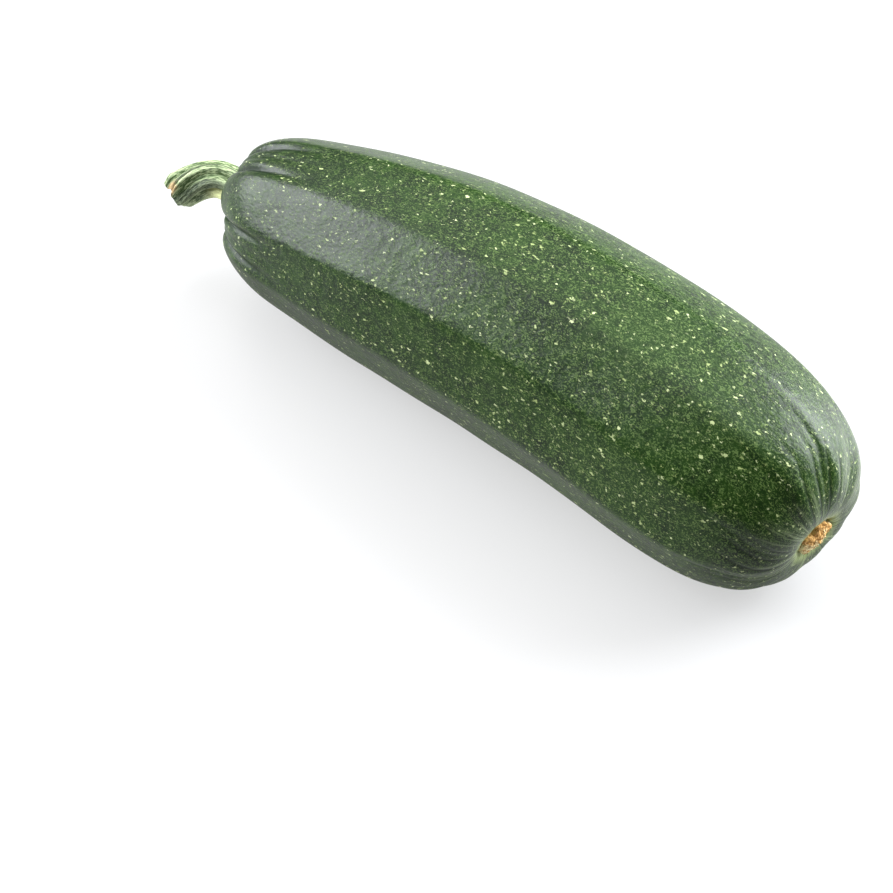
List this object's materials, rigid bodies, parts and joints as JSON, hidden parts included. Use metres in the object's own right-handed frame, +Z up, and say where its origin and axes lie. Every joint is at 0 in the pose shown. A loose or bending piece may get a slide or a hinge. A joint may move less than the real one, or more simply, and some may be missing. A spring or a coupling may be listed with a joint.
{
  "type": "zucchini",
  "caption": "Dark green, softly ribbed, slightly bent zucchini lying on its belly, with a short drooping cut stem and a small corky blossom scar.",
  "frame": {"origin": "on the table, under the middle of the bounding box", "axes": "+X along the fruit from its stem to its blossom end, +Y towards the outside of its bend, +Z up from the table"},
  "size_m": [0.2388, 0.071, 0.0675],
  "materials": {
    "skin": "satin",
    "stalk": "matte",
    "cork": "matte"
  },
  "bodies": {
    "root": {"fruit": "skin", "stem": "stalk", "blossom_scar": "cork"}
  },
  "joints": []
}
